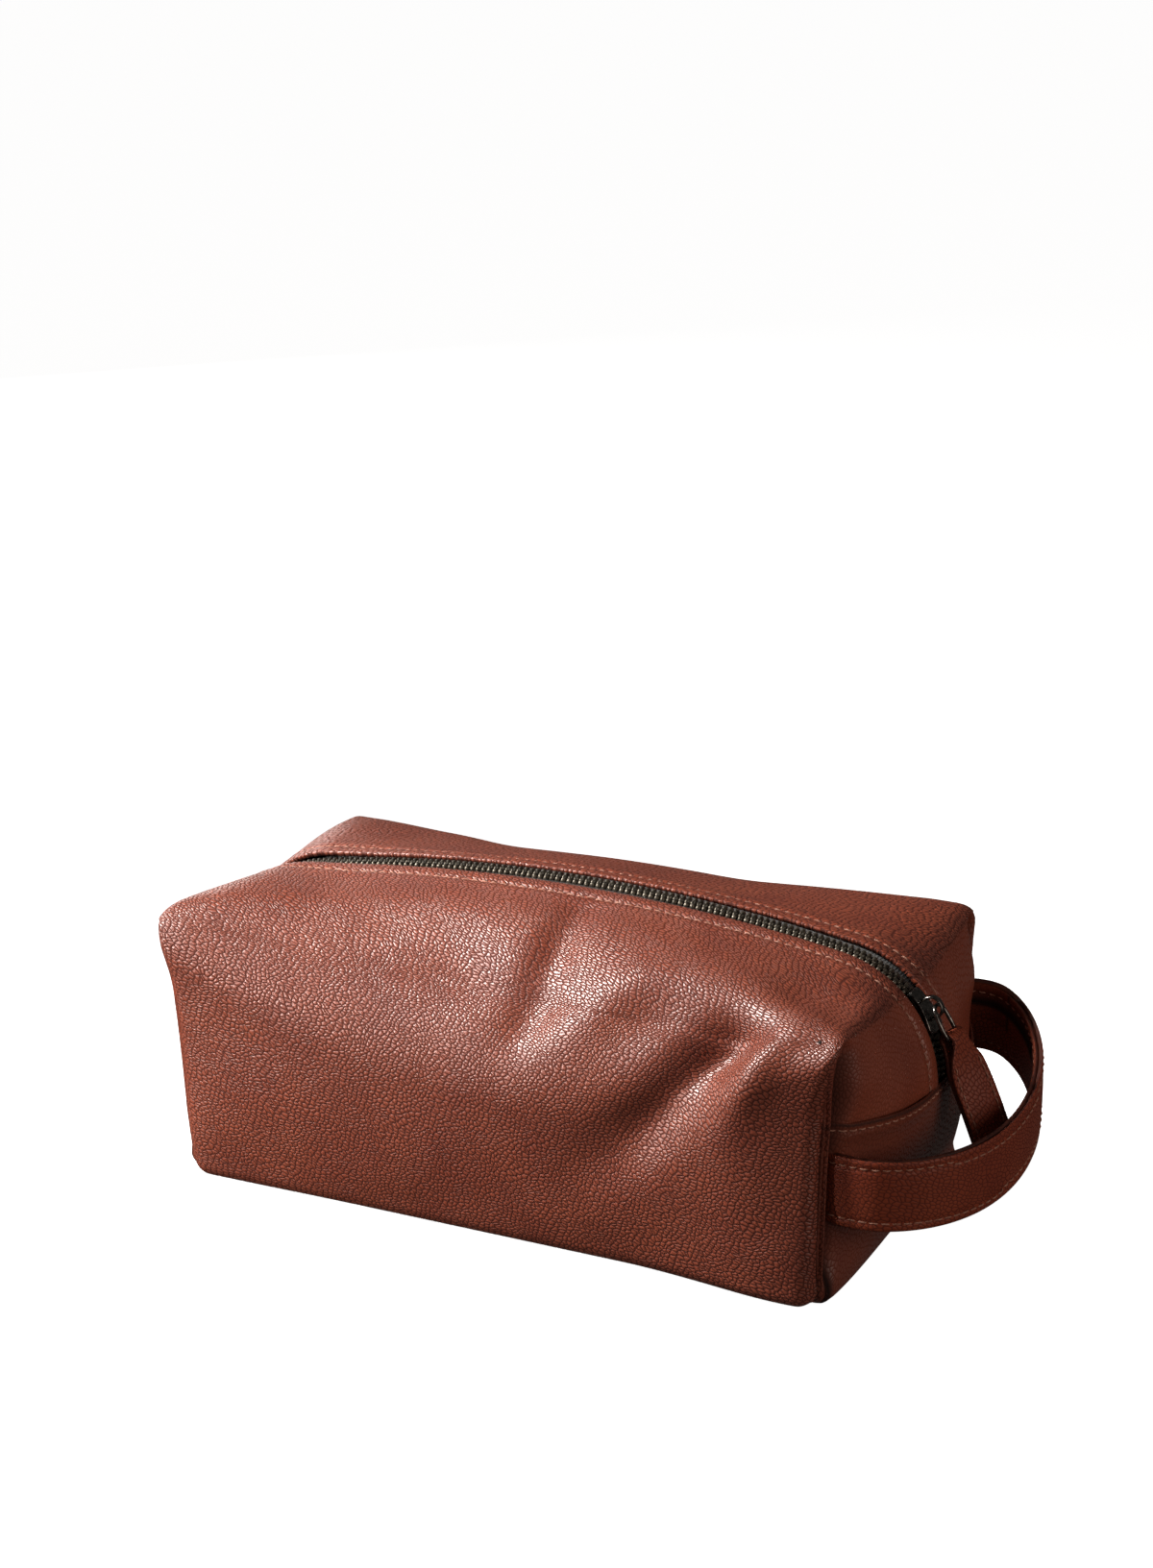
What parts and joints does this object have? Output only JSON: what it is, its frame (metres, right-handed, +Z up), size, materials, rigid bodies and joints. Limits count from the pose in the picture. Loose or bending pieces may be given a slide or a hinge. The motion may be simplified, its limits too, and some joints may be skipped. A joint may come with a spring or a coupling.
{
  "type": "shaving kit bag",
  "caption": "Boxy leather shaving kit bag with a zipped crowned top, boxed corners, a wrap-over zip at each end, a folded leather zip pull and a grab strap across one end.",
  "frame": {"origin": "centre of the underside of the base, on the surface the bag stands on", "axes": "+Z up, away from the base; +X along the bag's length, towards the end with the grab strap; +Y towards the back wall"},
  "size_m": [0.3159, 0.1384, 0.1141],
  "materials": {
    "leather": "pebbled, semi-gloss, reddish brown",
    "leather_trim": "pebbled, semi-gloss, dark reddish brown",
    "lining": "plain-woven dark brown lining",
    "board": "stiff fibre board",
    "zip_tape": "woven black-brown tape",
    "zip_teeth": "antiqued brass teeth, dull",
    "slider_metal": "black-nickel plating, polished"
  },
  "bodies": {
    "bag_body": {"front_panel": "leather", "back_panel": "leather", "right_end_panel": "leather", "left_end_panel": "leather", "base_panel": "leather", "base_board": "board", "front_lining": "lining", "back_lining": "lining", "right_end_lining": "lining", "left_end_lining": "lining", "base_lining": "lining", "slip_pocket": "lining", "front_tape_right": "zip_tape", "front_tape_left": "zip_tape", "back_tape_right": "zip_tape", "back_tape_left": "zip_tape", "front_teeth_right": "zip_teeth", "front_teeth_left": "zip_teeth", "back_teeth_right": "zip_teeth", "back_teeth_left": "zip_teeth", "closed_end_stop": "zip_teeth", "front_top_stop": "zip_teeth", "back_top_stop": "zip_teeth"},
    "front_flap": {"front_flap": "leather", "front_flap_lining": "lining", "front_tape_top": "zip_tape", "front_teeth_top": "zip_teeth"},
    "back_flap": {"back_flap": "leather", "back_flap_lining": "lining", "back_tape_top": "zip_tape", "back_teeth_top": "zip_teeth"},
    "zip_slider": {"slider_body": "slider_metal", "slider_bridge": "slider_metal"},
    "pull_ring": {"pull_ring": "slider_metal"},
    "leather_pull": {"leather_pull": "leather_trim"},
    "grab_strap": {"strap_outer": "leather_trim", "strap_inner": "leather_trim"}
  },
  "joints": [
    {"name": "front_flap_open", "type": "hinge", "parent": "bag_body", "child": "front_flap", "pos_m": [0, -0.057, 0.101], "axis": [1, 0, 0], "range_deg": [0, 95]},
    {"name": "back_flap_open", "type": "hinge", "parent": "bag_body", "child": "back_flap", "pos_m": [0, 0.057, 0.101], "axis": [-1, 0, 0], "range_deg": [0, 95]},
    {"name": "slider_travel", "type": "hinge", "parent": "bag_body", "child": "zip_slider", "pos_m": [0.098, 0, 0.0605], "axis": [0, -1, 0], "range_deg": [-18, 33]},
    {"name": "ring_swing", "type": "hinge", "parent": "zip_slider", "child": "pull_ring", "pos_m": [0.139, 0, 0.088], "axis": [0, -1, 0], "range_deg": [-3, 3]},
    {"name": "pull_swing", "type": "hinge", "parent": "pull_ring", "child": "leather_pull", "pos_m": [0.1456, 0, 0.0768], "axis": [0, -1, 0], "range_deg": [-12, 2.5]},
    {"name": "handle_swing", "type": "hinge", "parent": "bag_body", "child": "grab_strap", "pos_m": [0.1286, 0, 0.05], "axis": [0, 0.9889, 0.1489], "range_deg": [-15, 20]}
  ]
}
